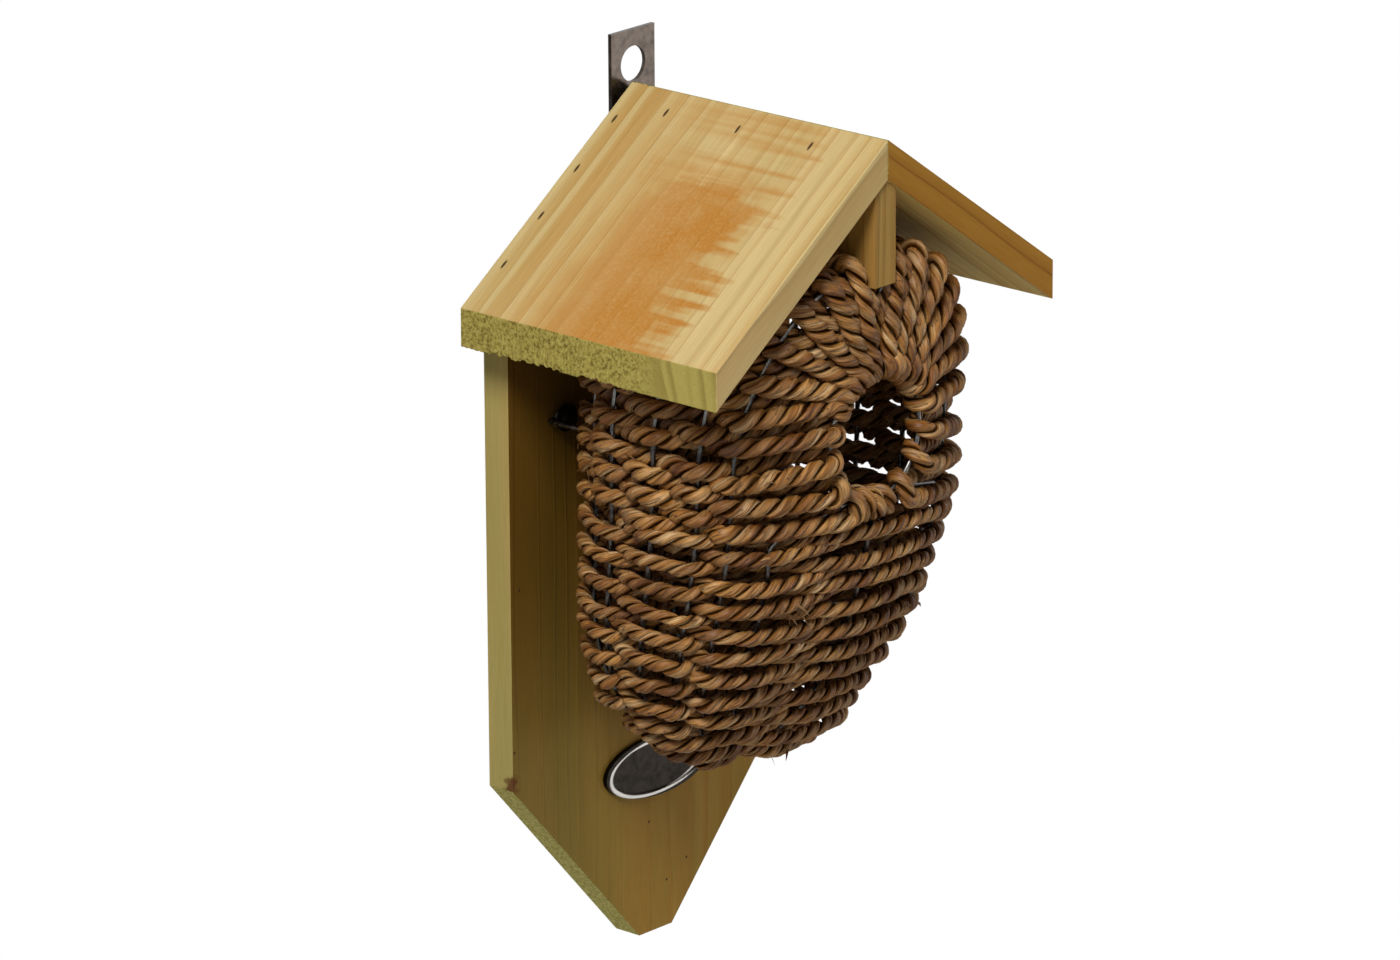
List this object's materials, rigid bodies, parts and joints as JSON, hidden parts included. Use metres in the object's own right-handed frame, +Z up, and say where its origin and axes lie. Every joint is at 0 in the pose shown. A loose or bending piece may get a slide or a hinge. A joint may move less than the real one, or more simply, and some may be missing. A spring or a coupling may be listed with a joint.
{
  "type": "birdhouse",
  "caption": "Wall-hung birdhouse: a pouch of twisted seagrass rope woven on a steel wire frame, with a round entrance, under a pitched timber roof on a pointed back board.",
  "frame": {"origin": "centre of the hanging hole, in the plane of the wall (rear face of the hanging plate)", "axes": "+Z up, +Y into the wall along the hanging hole, +X to the right as seen from the front"},
  "size_m": [0.174, 0.1205, 0.3245],
  "materials": {
    "treated_pine": "planed, pressure-treated",
    "seagrass_rope": "twisted natural fibre",
    "frame_wire": "drawn wire, bright where bare",
    "blackened_steel": "dark oiled sheet",
    "cast_badge": "bare cast metal, bright rim",
    "dark_fixings": "dark, dull"
  },
  "bodies": {
    "root": {"back_board": "treated_pine", "batten_staple": "frame_wire", "entrance_ring": "frame_wire", "frame_back_rib": "frame_wire", "frame_entrance_ribs": "frame_wire", "frame_front_rib": "frame_wire", "frame_heel_ring": "frame_wire", "frame_hoop_1": "frame_wire", "frame_hoop_2": "frame_wire", "frame_hoop_3": "frame_wire", "frame_hoop_4": "frame_wire", "frame_hoop_5": "frame_wire", "frame_hoop_6": "frame_wire", "frame_lugs": "frame_wire", "frame_screws": "dark_fixings", "frame_washers": "dark_fixings", "hanging_plate": "blackened_steel", "hanging_plate_screws": "dark_fixings", "oval_badge": "cast_badge", "ridge_batten": "treated_pine", "roof_board_left": "treated_pine", "roof_board_right": "treated_pine", "roof_brads_board": "dark_fixings", "roof_brads_ridge": "dark_fixings", "rope_course_01": "seagrass_rope", "rope_course_02": "seagrass_rope", "rope_course_03": "seagrass_rope", "rope_course_04": "seagrass_rope", "rope_course_05": "seagrass_rope", "rope_course_06": "seagrass_rope", "rope_course_07": "seagrass_rope", "rope_course_08": "seagrass_rope", "rope_course_09": "seagrass_rope", "rope_course_10": "seagrass_rope", "rope_course_11": "seagrass_rope", "rope_course_12": "seagrass_rope", "rope_course_13": "seagrass_rope", "rope_course_14": "seagrass_rope", "rope_course_15": "seagrass_rope", "rope_course_16": "seagrass_rope", "rope_fan_left_1": "seagrass_rope", "rope_fan_left_2": "seagrass_rope", "rope_fan_left_3": "seagrass_rope", "rope_fan_left_4": "seagrass_rope", "rope_fan_left_5": "seagrass_rope", "rope_fan_left_6": "seagrass_rope", "rope_fan_right_1": "seagrass_rope", "rope_fan_right_2": "seagrass_rope", "rope_fan_right_3": "seagrass_rope", "rope_fan_right_4": "seagrass_rope", "rope_fan_right_5": "seagrass_rope", "rope_fan_right_6": "seagrass_rope", "rope_heel_coil": "seagrass_rope", "rope_side_row_1": "seagrass_rope", "rope_side_row_2": "seagrass_rope", "rope_side_row_3": "seagrass_rope"}
  },
  "joints": []
}
